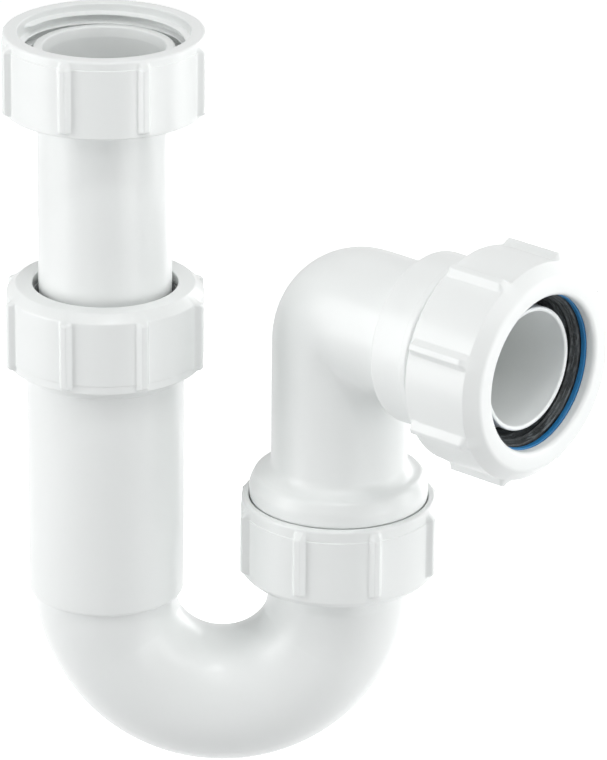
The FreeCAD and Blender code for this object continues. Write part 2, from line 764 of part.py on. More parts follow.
def outlet_slip_ring():
    """The thin blue ring between the outlet nut and its seal."""
    body = outlet_body("outlet_slip_ring")
    outside = male_outlet_radius - size.running_gap
    inside = outlet_hole_radius - size.outlet_ring_lip
    turned(body, "ring", [
        (outlet_ring_back, inside),
        (outlet_ring_back, outside),
        (outlet_ring_front, outside),
        (outlet_ring_front, inside),
    ], "H_Axis")


def outlet_nut():
    """The nut that squeezes the outlet seal on the waste pipe, open towards the elbow."""
    nut = Nut(
        radius=outlet_nut_radius,
        rib_height=size.outlet_rib_height,
        height=size.outlet_nut_height,
        hole=outlet_hole_radius,
        thread=outlet_thread_radius,
        mouth=outlet_thread_radius + size.thread_relief,
        lead_in=size.thread_lead_in,
        bevel=size.outlet_bevel,
    )
    body = outlet_body("outlet_nut")
    rib_to = nut.height - size.slip_rib_stop
    build_nut(body, nut, size.outlet_reach, -1, "X", size.outlet_rib_phase, rib_to)


def write_parts():
    """Checks every object and writes each body's shape to its own file."""
    document.recompute()
    failed = [thing.Name for thing in document.Objects if {"Invalid", "Error"} & set(thing.State)]
    if failed:
        raise RuntimeError("failed objects: " + ", ".join(failed))
    for node in nodes:
        if node.Shape.isNull() or not node.Shape.isValid() or len(node.Shape.Solids) != 1:
            raise RuntimeError("bad shape: " + node.Label)
    os.makedirs("parts", exist_ok=True)
    for node in nodes:
        node.Shape.exportStep("parts/%s.step" % node.Label)
        print("%-18s %9.1f mm3" % (node.Label, node.Shape.Volume))


for build in (
    inlet_nut,
    inlet_tail,
    inlet_washer,
    compression_nut,
    slip_ring,
    slip_seal,
    trap_body,
    swivel_nut,
    swivel_seal,
    outlet_elbow,
    outlet_seal,
    outlet_slip_ring,
    outlet_nut,
):
    build()
write_parts()
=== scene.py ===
"""Looks of an adjustable tubular P trap: moulded skins, threads, seals and a pale studio.

Lengths are written in millimetres, as a fitter gives them, and every mesh is made in metres.
The origin is the centre of the inlet nut's mouth, +Z is up and +X runs to the outlet leg.
"""

from __future__ import annotations

import logging
import math
from dataclasses import dataclass
from enum import Enum
from typing import Callable, NamedTuple, Sequence

import bmesh
import bpy
import numpy as np
from mathutils import Matrix, Vector


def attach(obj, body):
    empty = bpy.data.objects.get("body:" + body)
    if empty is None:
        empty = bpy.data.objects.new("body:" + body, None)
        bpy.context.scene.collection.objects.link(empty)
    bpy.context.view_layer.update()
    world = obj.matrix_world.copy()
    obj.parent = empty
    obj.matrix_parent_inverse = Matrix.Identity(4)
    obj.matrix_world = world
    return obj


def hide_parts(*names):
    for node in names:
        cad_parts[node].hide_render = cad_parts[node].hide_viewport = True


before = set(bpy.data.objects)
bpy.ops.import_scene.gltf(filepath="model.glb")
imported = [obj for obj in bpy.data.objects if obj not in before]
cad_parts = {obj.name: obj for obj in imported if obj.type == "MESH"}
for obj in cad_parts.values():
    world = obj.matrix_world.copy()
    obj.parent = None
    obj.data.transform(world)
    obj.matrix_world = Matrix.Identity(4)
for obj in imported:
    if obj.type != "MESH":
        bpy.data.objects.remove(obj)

Socket = bpy.types.NodeSocket
LOG = logging.getLogger("p_trap")
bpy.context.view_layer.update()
MM = 0.001
PHOTO_WIDTH, PHOTO_HEIGHT = 607, 760
WRAP = "wrap"

# Roundings of moulded edges: the usual one, a fine one and one that is nearly sharp
EDGE, FINE_EDGE, TIGHT_EDGE = 0.3, 0.2, 0.1
# Longest pieces of a section's runs: at ribs, on the thread, on a nut's walls, round the bend, on its tube
# and on turned pieces
RIB_PIECE, THREAD_PIECE, WALL_PIECE, BEND_PIECE, TUBE_PIECE, TURNED_PIECE = 0.33, 0.12, 4.0, 1.4, 5.0, 6.0
# Bands of noise that become streaks, slow flow and single grains, and how much the flow shades the colour
STREAK_BAND, FLOW_BAND, GRAIN_BAND, FLOW_SHARE = (0.52, 0.66), (0.35, 0.7), (0.47, 0.66), 0.35
# How dense the streaks lie along their way round and across it
STREAKS_ROUND, STREAKS_ACROSS = 4.0, 1.9


class Corner(NamedTuple):
    """A corner of a turned outline: radius, station along the axis and rounding."""

    radius: float
    station: float
    rounding: float = 0.0


class Opening(Enum):
    """The way a nut's open end faces along its axis."""

    FORWARD = 1
    BACKWARD = -1


# Outlines and skins


def rounded(corners: Sequence[Corner], fan: float = 14.0) -> np.ndarray:
    """Replaces the corners of a closed outline by short arcs.

    Args:
        corners: The outline's corners in order.
        fan: Largest angle in degrees that one chord of an arc spans.

    Returns:
        The points of the outline as rows of radius and station.
    """
    points: list[np.ndarray] = []
    count = len(corners)
    for number, corner in enumerate(corners):
        here = np.array(corner[:2])
        if corner.rounding <= 0:
            points.append(here)
            continue
        before = np.array(corners[number - 1][:2]) - here
        after = np.array(corners[(number + 1) % count][:2]) - here
        before /= np.linalg.norm(before)
        after /= np.linalg.norm(after)
        half = math.acos(float(np.clip(before @ after, -1, 1))) / 2
        middle = (before + after) / np.linalg.norm(before + after)
        centre = here + middle * corner.rounding / math.sin(half)
        start = here + before * corner.rounding / math.tan(half) - centre
        end = here + after * corner.rounding / math.tan(half) - centre
        sweep = math.pi - 2 * half
        steps = max(2, math.ceil(math.degrees(sweep) / fan))
        for share in np.linspace(0, 1, steps + 1):
            a = math.sin((1 - share) * sweep) / math.sin(sweep)
            b = math.sin(share * sweep) / math.sin(sweep)
            points.append(centre + start * a + end * b)
    return np.array(points)


def finer(points: np.ndarray, wanted: Callable[[np.ndarray, np.ndarray], float]) -> np.ndarray:
    """Splits the runs of a closed outline.

    Args:
        points: Points of the outline.
        wanted: Gives the longest allowed piece of a run from its two ends.

    Returns:
        The outline with more points on its long runs.
    """
    made: list[np.ndarray] = []
    for number, start in enumerate(points):
        end = points[(number + 1) % len(points)]
        pieces = max(1, math.ceil(float(np.linalg.norm(end - start)) / wanted(start, end)))
        made += [start + (end - start) * step / pieces for step in range(pieces)]
    return np.array(made)


def ease(low: float, high: float, value: np.ndarray) -> np.ndarray:
    """A smooth step from 0 at low to 1 at high."""
    share = np.clip((value - low) / (high - low), 0, 1)
    return share * share * (3 - 2 * share)


def ramp(low: float, high: float, blur: float, value: np.ndarray) -> np.ndarray:
    """A straight rise from 0 at low to 1 at high, with both its corners rounded.

    Args:
        low: Where the rise begins.
        high: Where it ends.
        blur: How far the rounding reaches each side of a corner.
        value: The values to map.

    Returns:
        Shares from 0 to 1.
    """

    def knee(past: np.ndarray) -> np.ndarray:
        """Zero before the corner and a straight line after it."""
        bent = np.clip(past + blur, 0, 2 * blur)
        return bent * bent / (4 * blur) + np.maximum(past - blur, 0)

    return (knee(value - low) - knee(value - high)) / (high - low)


@dataclass(frozen=True)
class Axis:
    """A turning axis with the direction from which angles round it are counted."""

    origin: tuple[float, float, float]
    along: tuple[float, float, float] = (0.0, 0.0, 1.0)
    zero: tuple[float, float, float] = (1.0, 0.0, 0.0)

    def place(self, radius: np.ndarray, station: np.ndarray, angle: np.ndarray) -> np.ndarray:
        """Points in space.

        Args:
            radius: Distances from the axis.
            station: Distances along the axis.
            angle: Angles round the axis in radians.

        Returns:
            An array with one more dimension, for x, y and z.
        """
        along, zero = np.array(self.along), np.array(self.zero)
        side = np.cross(along, zero)
        radius, station, angle = np.broadcast_arrays(radius, station, angle)
        spoke = np.cos(angle)[..., None] * zero + np.sin(angle)[..., None] * side
        return np.array(self.origin) + station[..., None] * along + radius[..., None] * spoke


def in_scene(name: str, data: bpy.types.ID) -> bpy.types.Object:
    """Makes an object and puts it in the scene.

    Args:
        name: Name of the object.
        data: Its mesh, lamp or camera.

    Returns:
        The new object.
    """
    made = bpy.data.objects.new(name, data)
    bpy.context.scene.collection.objects.link(made)
    return made


def skin(name: str, rings: np.ndarray, sharp: float = 32.0) -> bpy.types.Object:
    """A closed skin over rings that follow each other and come back to the first.

    Its wrap map holds the share of a turn and the length along the section in millimetres.

    Args:
        name: Name of the piece.
        rings: Points in millimetres, as rings by points by three.
        sharp: Angle in degrees from which an edge stays sharp.

    Returns:
        The new piece.
    """
    rows, around = rings.shape[:2]
    ring = np.arange(rows)[:, None]
    spot = np.arange(around)[None, :]
    next_ring, next_spot = (ring + 1) % rows, (spot + 1) % around
    faces = np.stack([
        ring * around + spot,
        ring * around + next_spot,
        next_ring * around + next_spot,
        next_ring * around + spot,
    ], axis=-1).reshape(-1, 4)
    mesh = bpy.data.meshes.new(name)
    mesh.from_pydata((rings.reshape(-1, 3) * MM).tolist(), [], faces.tolist())
    steps = np.linalg.norm(np.roll(rings, -1, axis=0) - rings, axis=-1).mean(axis=1)
    along = np.concatenate([[0.0], np.cumsum(steps)])
    wrap = np.empty((rows, around, 4, 2))
    wrap[..., 0] = (np.arange(around)[:, None] + np.array([0, 1, 1, 0])) / around
    wrap[..., 1] = along[ring[..., None] + np.array([0, 0, 1, 1])]
    mesh.uv_layers.new(name=WRAP).data.foreach_set("uv", wrap.ravel())
    shape = bmesh.new()
    shape.from_mesh(mesh)
    bmesh.ops.recalc_face_normals(shape, faces=shape.faces)
    if shape.calc_volume(signed=True) < 0:
        bmesh.ops.reverse_faces(shape, faces=shape.faces)
    shape.to_mesh(mesh)
    shape.free()
    mesh.shade_smooth()
    mesh.set_sharp_from_angle(angle=math.radians(sharp))
    return in_scene(name, mesh)


def even_angles(count: int) -> np.ndarray:
    """Angles at equal distances round a full turn."""
    return np.linspace(0, 2 * math.pi, count, endpoint=False)


def settle(piece: bpy.types.Object, body: str, node: str, finish: "Finish") -> bpy.types.Object:
    """Gives a piece its body, the node that it stands for and its finish.

    Args:
        piece: The new piece.
        body: The moving body that carries it.
        node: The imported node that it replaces.
        finish: The finish that dresses it.

    Returns:
        The same piece.
    """
    piece.data.materials.append(finish.material())
    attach(piece, body)
    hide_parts(node)
    LOG.info("%s stands for %s, %d faces", piece.name, node, len(piece.data.polygons))
    return piece


# Finishes


class Sheet:
    """A node tree under construction, with short ways to add and join nodes."""

    def __init__(self, tree: bpy.types.NodeTree) -> None:
        """Starts on a tree."""
        self.tree = tree

    def add(self, kind: str, **settings: object) -> bpy.types.Node:
        """Adds a node and sets its properties and sockets.

        Args:
            kind: The node's type without the word ShaderNode.
            **settings: Properties by name, or inputs by socket name with spaces as underscores.
                An input takes a value or a socket to join.

        Returns:
            The new node.
        """
        node = self.tree.nodes.new("ShaderNode" + kind)
        for name, value in settings.items():
            if isinstance(value, Socket):
                self.join(value, node.inputs[name.replace("_", " ")])
            elif hasattr(node, name) and name not in node.inputs:
                setattr(node, name, value)
            else:
                node.inputs[name.replace("_", " ")].default_value = value
        return node

    def join(self, source: Socket, target: Socket) -> None:
        """Links two sockets."""
        self.tree.links.new(source, target)

    def chain(self, kind: str, sources: Sequence[object], **settings: object) -> Socket:
        """Adds a node that takes its inputs in order.

        Args:
            kind: The node's type without the word ShaderNode.
            sources: Sockets to join or values to set, from the first input on.
            **settings: Properties by name.

        Returns:
            Its first output.
        """
        node = self.add(kind, **settings)
        for value, socket in zip(sources, node.inputs):
            if isinstance(value, Socket):
                self.join(value, socket)
            else:
                socket.default_value = value
        return node.outputs[0]

    def band(self, source: Socket, limits: tuple[float, float]) -> Socket:
        """Maps a value by a smooth step.

        Args:
            source: The value.
            limits: Where the step starts and where it ends.

        Returns:
            The step, from 0 to 1.
        """
        low, high = limits
        return self.chain("MapRange", [source, low, high], interpolation_type="SMOOTHSTEP")

    def first(self, kind: str) -> bpy.types.Node:
        """The tree's first node of a type."""
        return next(node for node in self.tree.nodes if node.type == kind)

    def show_to_eyes(self, plain: Socket, shown: Socket, output: str) -> None:
        """Puts out one shader for the light's own paths and another for what is seen.

        Args:
            plain: The shader that lights the scene.
            shown: The shader for rays from the camera, from gloss and through glass.
            output: Type of the tree's output node.
        """
        path = self.add("LightPath").outputs
        seen = self.chain("Math", [path["Is Camera Ray"], path["Is Transmission Ray"]], operation="MAXIMUM")
        seen = self.chain("Math", [seen, path["Is Glossy Ray"]], operation="MAXIMUM")
        self.join(self.chain("MixShader", [seen, plain, shown]), self.first(output).inputs["Surface"])


def streak_mask(sheet: Sheet) -> Socket:
    """Thin streaks that run round a turned piece.

    Args:
        sheet: The tree that gets the nodes.

    Returns:
        The mask, 1 on a streak.
    """
    wrap = sheet.add("UVMap", uv_map=WRAP)
    parts = sheet.add("SeparateXYZ")
    sheet.join(wrap.outputs["UV"], parts.inputs[0])
    turn = sheet.chain("Math", [parts.outputs["X"], 2 * math.pi], operation="MULTIPLY")
    spot = []
    for operation in ("COSINE", "SINE"):
        wave = sheet.chain("Math", [turn], operation=operation)
        spot.append(sheet.chain("Math", [wave, STREAKS_ROUND], operation="MULTIPLY"))
    spot.append(sheet.chain("Math", [parts.outputs["Y"], STREAKS_ACROSS], operation="MULTIPLY"))
    spot = sheet.chain("CombineXYZ", spot)
    noise = sheet.add("TexNoise", Vector=spot, Scale=1.0, Detail=3.0, Roughness=0.65)
    return sheet.band(noise.outputs["Fac"], STREAK_BAND)


def moulded_surface_group() -> bpy.types.NodeTree:
    """The shared effect of moulded skins: tone, sheen and fine relief.

    Returns:
        A node group with the outputs Color, Roughness and Height.
    """
    known = bpy.data.node_groups.get("moulded_surface")
    if known:
        return known
    group = bpy.data.node_groups.new("moulded_surface", "ShaderNodeTree")
    for name, kind, value in (
        ("Base", "NodeSocketColor", (0.8, 0.8, 0.8, 1.0)),
        ("Shade", "NodeSocketColor", (0.6, 0.6, 0.6, 1.0)),
        ("Grain Scale", "NodeSocketFloat", 900.0),
        ("Flow Scale", "NodeSocketFloat", 40.0),
        ("Speckle", "NodeSocketFloat", 0.1),
        ("Streak", "NodeSocketFloat", 0.0),
        ("Roughness", "NodeSocketFloat", 0.35),
        ("Roughness Spread", "NodeSocketFloat", 0.08),
    ):
        socket = group.interface.new_socket(name=name, in_out="INPUT", socket_type=kind)
        socket.default_value = value
    for name, kind in (
        ("Color", "NodeSocketColor"),
        ("Roughness", "NodeSocketFloat"),
        ("Height", "NodeSocketFloat"),
    ):
        group.interface.new_socket(name=name, in_out="OUTPUT", socket_type=kind)
    sheet = Sheet(group)
    given = group.nodes.new("NodeGroupInput").outputs
    taken = group.nodes.new("NodeGroupOutput").inputs
    place = sheet.add("TexCoord").outputs["Object"]
    grain = sheet.add("TexNoise", Vector=place, Scale=given["Grain Scale"], Detail=3.0, Roughness=0.6)
    flow = sheet.add(
        "TexNoise", Vector=place, Scale=given["Flow Scale"], Detail=2.0, Roughness=0.45, Distortion=0.6
    )
    slow = sheet.band(flow.outputs["Fac"], FLOW_BAND)
    single = sheet.band(grain.outputs["Fac"], GRAIN_BAND)
    fleck = sheet.chain("Math", [single, given["Speckle"]], operation="MULTIPLY")
    cloud = sheet.chain("Math", [slow, FLOW_SHARE, fleck], operation="MULTIPLY_ADD")
    streaks = [streak_mask(sheet), given["Streak"], cloud]
    amount = sheet.chain("Math", streaks, operation="MULTIPLY_ADD", use_clamp=True)
    tone = sheet.add("Mix", data_type="RGBA")
    for source, socket in ((amount, 0), (given["Base"], 6), (given["Shade"], 7)):
        sheet.join(source, tone.inputs[socket])
    sheen = [slow, given["Roughness Spread"], given["Roughness"]]
    sheet.join(tone.outputs[2], taken["Color"])
    sheet.join(sheet.chain("Math", sheen, operation="MULTIPLY_ADD"), taken["Roughness"])
    sheet.join(grain.outputs["Fac"], taken["Height"])
    return group


@dataclass(frozen=True)
class Finish:
    """A moulded finish. Colours are linear.

    The shade colour mixes in where the melt flowed slower and on single grains.
    """

    name: str
    base: tuple[float, float, float]
    shade: tuple[float, float, float]
    roughness: float
    roughness_spread: float
    grain_scale: float
    grain_depth: float
    speckle: float
    streak: float = 0.0
    flow_scale: float = 38.0
    specular: float = 0.5
    polish: float = 0.0
    polish_roughness: float = 0.2

    def material(self) -> bpy.types.Material:
        """The material, built once.

        Returns:
            The material of this finish.
        """
        known = bpy.data.materials.get(self.name)
        if known:
            return known
        material = bpy.data.materials.new(self.name)
        material.use_nodes = True
        sheet = Sheet(material.node_tree)
        shader = sheet.first("BSDF_PRINCIPLED").inputs
        effect = sheet.add(
            "Group",
            node_tree=moulded_surface_group(),
            Base=(*self.base, 1.0),
            Shade=(*self.shade, 1.0),
            Grain_Scale=self.grain_scale,
            Flow_Scale=self.flow_scale,
            Speckle=self.speckle,
            Streak=self.streak,
            Roughness=self.roughness,
            Roughness_Spread=self.roughness_spread,
        ).outputs
        sheet.join(effect["Color"], shader["Base Color"])
        sheet.join(effect["Roughness"], shader["Roughness"])
        bump = sheet.add("Bump", Strength=1.0, Distance=self.grain_depth * MM, Height=effect["Height"])
        sheet.join(bump.outputs["Normal"], shader["Normal"])
        shader["Specular IOR Level"].default_value = self.specular
        shader["Coat Weight"].default_value = self.polish
        shader["Coat Roughness"].default_value = self.polish_roughness
        return material


WHITE = Finish(
    name="white_polypropylene",
    base=(0.885, 0.905, 0.897),
    shade=(0.862, 0.884, 0.878),
    roughness=0.30,
    roughness_spread=0.08,
    grain_scale=1400.0,
    grain_depth=0.006,
    speckle=0.15,
    specular=0.28,
    polish=0.3,
)
BLACK = Finish(
    name="moulded_black_rubber",
    base=(0.010, 0.012, 0.0125),
    shade=(0.125, 0.137, 0.141),
    roughness=0.42,
    roughness_spread=0.2,
    grain_scale=2200.0,
    grain_depth=0.06,
    speckle=0.2,
    streak=0.85,
    flow_scale=160.0,
    specular=0.35,
)
BLUE = Finish(
    name="blue_polypropylene",
    base=(0.01, 0.18, 0.43),
    shade=(0.03, 0.22, 0.47),
    roughness=0.4,
    roughness_spread=0.1,
    grain_scale=1800.0,
    grain_depth=0.01,
    speckle=0.3,
)


# The shared levels and the outlet's direction


@dataclass(frozen=True)
class Layout:
    """Where the joints of the trap stand."""

    leg_spacing: float = 58.0
    slip_top: float = -64.7
    bend_level: float = -146.8
    outlet_level: float = -71.3
    outlet_turn: float = 41.3
    nut_lip: float = 2.8

    @property
    def outlet(self) -> Axis:
        """The outlet axis, out from the outlet leg.

        Returns:
            The axis, with angles counted from upright.
        """
        turn = math.radians(self.outlet_turn)
        origin, along = (self.leg_spacing, 0.0, self.outlet_level), (math.cos(turn), -math.sin(turn), 0.0)
        return Axis(origin, along, (0.0, 0.0, 1.0))

    @property
    def inlet(self) -> Axis:
        """The inlet axis, up from the origin."""
        return Axis((0.0, 0.0, 0.0))

    @property
    def outlet_leg(self) -> Axis:
        """The outlet leg's axis, up from the level of the bend's centre."""
        return Axis((self.leg_spacing, 0.0, self.bend_level))


LAYOUT = Layout()


# Nuts


@dataclass(frozen=True)
class RibbedNut:
    """A ribbed nut, with heights counted from its closed end.

    A slope is the height over which a wall steps to its next radius. The thread's seat is the foot
    of a thread that shows, and a nut without one has a plain wall from its lead-in.
    """

    node: str
    axis: Axis
    closed_end: float
    opening: Opening
    radius: float
    rib_radius: float
    height: float
    hole: float
    thread: float
    mouth: float
    face: float
    bevel: float
    rib_from: float
    rib_to: float
    lead_in: float = 1.5
    lead_slope: float = 0.35
    mouth_round: float = 0.35
    ribs_around: int = 8
    rib_cut: float = 0.5
    rib_hip: float = 1.65
    rib_phase: float = 22.5
    rib_crest: float = 0.7
    rib_base: float = 1.62
    rib_blur: float = 0.17
    end_blur: float = 0.2
    bevel_round: float = 0.9
    crease_depth: float = 2.3
    crease_step: float = 0.18
    crease_slope: float = 0.12
    crease_round: float = 0.06
    rim_round: float = 0.7
    face_round: float = 0.7
    hole_round: float = 0.35
    thread_seat: float = 0.0
    seat_slope: float = 0.5
    thread_pitch: float = 2.309
    thread_top: float = 2.03
    thread_start: float = 160.0
    thread_crest: float = 0.12
    thread_base: float = 0.62
    thread_blunt: float = 0.018

    @property
    def sector(self) -> float:
        """Angle from rib to rib."""
        return 2 * math.pi / self.ribs_around

    def inner_corners(self) -> list[Corner]:
        """The mouth, the thread's wall and the lip.

        Returns:
            Their corners, from the open end inwards.
        """
        rim = Corner(self.mouth, self.height, self.mouth_round)
        lip = [Corner(self.thread, LAYOUT.nut_lip, FINE_EDGE), Corner(self.hole, LAYOUT.nut_lip, FINE_EDGE)]
        if self.thread_seat:
            foot = Corner(self.thread, self.thread_seat - self.seat_slope, TIGHT_EDGE)
            return [rim, Corner(self.mouth, self.thread_seat, TIGHT_EDGE), foot, *lip]
        lead_in = self.height - self.lead_in
        foot = Corner(self.thread, lead_in - self.lead_slope, 0.15)
        return [rim, Corner(self.mouth, lead_in, TIGHT_EDGE), foot, *lip]

    def outline(self) -> np.ndarray:
        """The half section, fine where ribs or threads shape it.

        Returns:
            Rows of radius and height.
        """
        rim = self.radius - self.crease_step
        crease = self.height - self.crease_depth
        corners = [
            Corner(self.hole, 0, self.hole_round),
            Corner(self.face, 0, self.face_round),
            Corner(self.radius, self.bevel, min(self.bevel_round, self.bevel / 3)),
            Corner(self.radius, crease, self.crease_round),
            Corner(rim, crease + self.crease_slope, self.crease_round),
            Corner(rim, self.height, self.rim_round),
            *self.inner_corners(),
        ]
        outside, tall_run, on_wall = (self.mouth + self.radius) / 2 - 0.5, 0.4, 0.1

        def wanted(start: np.ndarray, end: np.ndarray) -> float:
            """Tells how long a piece of a run may be.

            Args:
                start: Radius and height where the run starts.
                end: Radius and height where it ends.

            Returns:
                The longest piece.
            """
            if min(start[0], end[0]) > outside and abs(start[1] - end[1]) > tall_run:
                return RIB_PIECE
            threaded = self.thread_seat and abs(start[0] - self.mouth) + abs(end[0] - self.mouth) < on_wall
            return THREAD_PIECE if threaded else WALL_PIECE

        return finer(rounded(corners), wanted)

    def angles(self) -> np.ndarray:
        """Angles round the nut, close together at the corners of the ribs.

        Returns:
            The angles in radians.
        """
        crest, base, blur = self.rib_crest, self.rib_base, self.rib_blur
        middle, flank, past_base, between_ribs = (crest + base) / 2, 0.15, 0.5, 10
        side = [crest / 2, crest - blur, crest, crest + blur, middle - flank, middle + flank]
        side += [base - blur, base, base + blur, base + past_base]
        near = np.array([-step for step in reversed(side)] + [0.0] + side) / self.radius
        far = np.linspace(near[-1], self.sector + near[0], between_ribs + 2)[1:-1]
        one = np.concatenate([near, far])
        turned = np.concatenate([one + self.sector * number for number in range(self.ribs_around)])
        return turned + math.radians(self.rib_phase)

    def ribs(self, radius: np.ndarray, height: np.ndarray, angle: np.ndarray) -> np.ndarray:
        """How far the ribs lift the wall.

        Args:
            radius: Radii of the section's points.
            height: Heights of the section's points.
            angle: Angles round the nut.

        Returns:
            The lift for each point of the section at each angle.
        """
        turned = (angle - math.radians(self.rib_phase) + self.sector / 2) % self.sector - self.sector / 2
        crest = 1 - ramp(self.rib_crest, self.rib_base, self.rib_blur, np.abs(turned) * self.radius)
        rise = ramp(self.rib_from, self.rib_from + self.rib_cut, self.end_blur, height)
        fall = 1 - ramp(self.rib_to - self.rib_hip, self.rib_to, self.end_blur, height)
        wall, half = (self.mouth + self.radius) / 2, 0.3
        outer = ease(wall - half, wall + half, radius)
        return (self.rib_radius - radius)[:, None] * (rise * fall * outer)[:, None] * crest[None, :]

    def threads(self, radius: np.ndarray, height: np.ndarray, angle: np.ndarray) -> np.ndarray:
        """How far the thread's ridge stands in from the inner wall.

        The ridge has a blunt start and winds down clockwise from it.

        Args:
            radius: Radii of the section's points.
            height: Heights of the section's points.
            angle: Angles round the nut.

        Returns:
            The height of the ridge for each point of the section at each angle.
        """
        on_wall, above_seat = 0.02, 0.05
        inner = (np.abs(radius - self.mouth) < on_wall) & (height > self.thread_seat + above_seat)
        back = ((math.radians(self.thread_start) - angle) % (2 * math.pi) / (2 * math.pi))[None, :]
        turn = (self.height - height - self.thread_top)[:, None] / self.thread_pitch - back
        number = np.round(turn)
        ridge = 1 - ease(self.thread_crest, self.thread_base, np.abs(turn - number) * self.thread_pitch)
        begun = np.where(number < 0, 0.0, np.where(number < 1, ease(0.0, self.thread_blunt, back), 1.0))
        return inner[:, None] * ridge * begun * (self.mouth - self.thread)

    def build(self, finish: Finish) -> bpy.types.Object:
        """Builds and dresses the nut.

        Args:
            finish: The finish of its skin.

        Returns:
            The nut's piece.
        """
        outline = self.outline()
        radius, height = outline[:, 0], outline[:, 1]
        angle = self.angles()
        reach = radius[:, None] + self.ribs(radius, height, angle)
        if self.thread_seat:
            reach = reach - self.threads(radius, height, angle)
        station = (self.closed_end + self.opening.value * height)[:, None]
        rings = self.axis.place(reach, station, angle[None, :])
        piece = skin(self.node + "_moulding", rings, sharp=60.0)
        return settle(piece, self.node, self.node, finish)


INLET_NUT = RibbedNut(
    node="inlet_nut", axis=LAYOUT.inlet, closed_end=-19.6, opening=Opening.FORWARD,
    radius=24.8, rib_radius=26.4, height=19.6, hole=16.7, thread=19.5, mouth=21.0,
    face=24.4, bevel=0.4, face_round=0.15, rib_from=1.1, rib_to=18.9, thread_seat=5.9, rib_phase=24.5,
)
COMPRESSION_NUT = RibbedNut(
    node="compression_nut", axis=LAYOUT.inlet, closed_end=LAYOUT.slip_top, opening=Opening.BACKWARD,
    radius=24.3, rib_radius=25.9, height=20.6, hole=17.9, thread=21.6, mouth=22.6,
    face=22.1, bevel=2.2, face_round=0.8, rib_from=1.9, rib_to=19.9, rib_cut=0.7, rib_hip=0.6, rim_round=0.3,
    rib_phase=23.7,
)
SWIVEL_NUT = RibbedNut(
    node="swivel_nut", axis=LAYOUT.outlet_leg, closed_end=5.1, opening=Opening.FORWARD,
    radius=24.4, rib_radius=26.0, height=20.8, hole=17.4, thread=21.6, mouth=22.4, lead_in=2.6,
    face=23.2, bevel=1.4, rib_from=2.7, rib_to=19.9, crease_depth=3.2, rib_phase=21.6,
)
OUTLET_NUT = RibbedNut(
    node="outlet_nut", axis=LAYOUT.outlet, closed_end=64.4, opening=Opening.BACKWARD,
    radius=27.1, rib_radius=28.9, height=21.2, hole=19.4, thread=24.0, mouth=24.15,
    face=24.0, bevel=3.1, rib_from=2.95, rib_to=20.4, rib_phase=25.0, rib_cut=1.3, rib_hip=0.7,
    rib_base=2.0, rib_blur=0.16, end_blur=0.1, bevel_round=0.4, crease_depth=3.2, face_round=1.6,
    hole_round=1.2,
)


# Tail, seals and rings


@dataclass(frozen=True)
class TurnedRing:
    """A plain turned piece: a tube, a washer, a seal or a slip ring."""

    node: str
    body: str
    slot: str
    axis: Axis
    corners: tuple[Corner, ...]
    finish: Finish
    around: int = 224

    def build(self) -> bpy.types.Object:
        """Builds and dresses the piece.

        Returns:
            The turned piece.
        """
        outline = finer(rounded(self.corners), lambda start, end: TURNED_PIECE)
        radius, station = outline[:, 0][:, None], outline[:, 1][:, None]
        rings = self.axis.place(radius, station, even_angles(self.around)[None, :])
        return settle(skin(self.node + "_turned", rings), self.body, self.node, self.finish)


@dataclass(frozen=True)
class InletTail:
    """The telescopic tail: tube, flange and spigot."""

    radius: float = 16.4
    bore: float = 14.45
    rim: float = -4.0
    length: float = 96.0
    spigot: float = 17.3
    flange: float = 19.1
    flange_seat: float = -16.5
    flange_thickness: float = 2.6
    edge: float = 0.5
    lip: float = 2.5

    def build(self) -> bpy.types.Object:
        """Builds and dresses the tail.

        Returns:
            The tail's piece.
        """
        end = self.rim - self.length
        flange_top = self.flange_seat + self.flange_thickness
        corners = (
            Corner(self.bore, end, FINE_EDGE),
            Corner(self.radius, end, 0.7),
            Corner(self.radius, self.flange_seat, EDGE),
            Corner(self.flange, self.flange_seat, EDGE),
            Corner(self.flange, flange_top, EDGE),
            Corner(self.spigot, flange_top, 0.15),
            Corner(self.spigot, self.rim, 0.6),
            Corner(self.bore + self.edge, self.rim, 0.45),
            Corner(self.bore, self.rim - self.lip, 1.5),
        )
        return TurnedRing("inlet_tail", "inlet_tail", "white_plastic", LAYOUT.inlet, corners, WHITE).build()


@dataclass(frozen=True)
class SlipSeal:
    """The wedge seal that grips the tail."""

    bore: float = 16.5
    toe_radius: float = 16.6
    toe: float = -76.5
    wedge_radius: float = 18.8
    wedge_top: float = -71.5
    outside: float = 21.3
    shoulder: float = -69.7
    neck: float = 17.5
    top: float = -67.1

    def build(self) -> bpy.types.Object:
        """Builds and dresses the seal.

        Returns:
            The seal's piece.
        """
        corners = (
            Corner(self.bore, self.toe, 0.05),
            Corner(self.toe_radius, self.toe, 0.03),
            Corner(self.wedge_radius, self.wedge_top, FINE_EDGE),
            Corner(self.outside, self.wedge_top, EDGE),
            Corner(self.outside, self.shoulder, EDGE),
            Corner(self.neck, self.shoulder, EDGE),
            Corner(self.neck, self.top, 0.35),
            Corner(self.bore, self.top, 0.35),
        )
        return TurnedRing("slip_seal", "slip_seal", "black_rubber", LAYOUT.inlet, corners, BLACK).build()


def flat(
    inner: float, outer: float, low: float, high: float, roundings: Sequence[float] = (EDGE,) * 4
) -> tuple[Corner, ...]:
    """The corners of a flat ring, low inside, low outside, high outside and high inside."""
    places = ((inner, low), (outer, low), (outer, high), (inner, high))
    return tuple(Corner(*place, rounding) for place, rounding in zip(places, roundings))


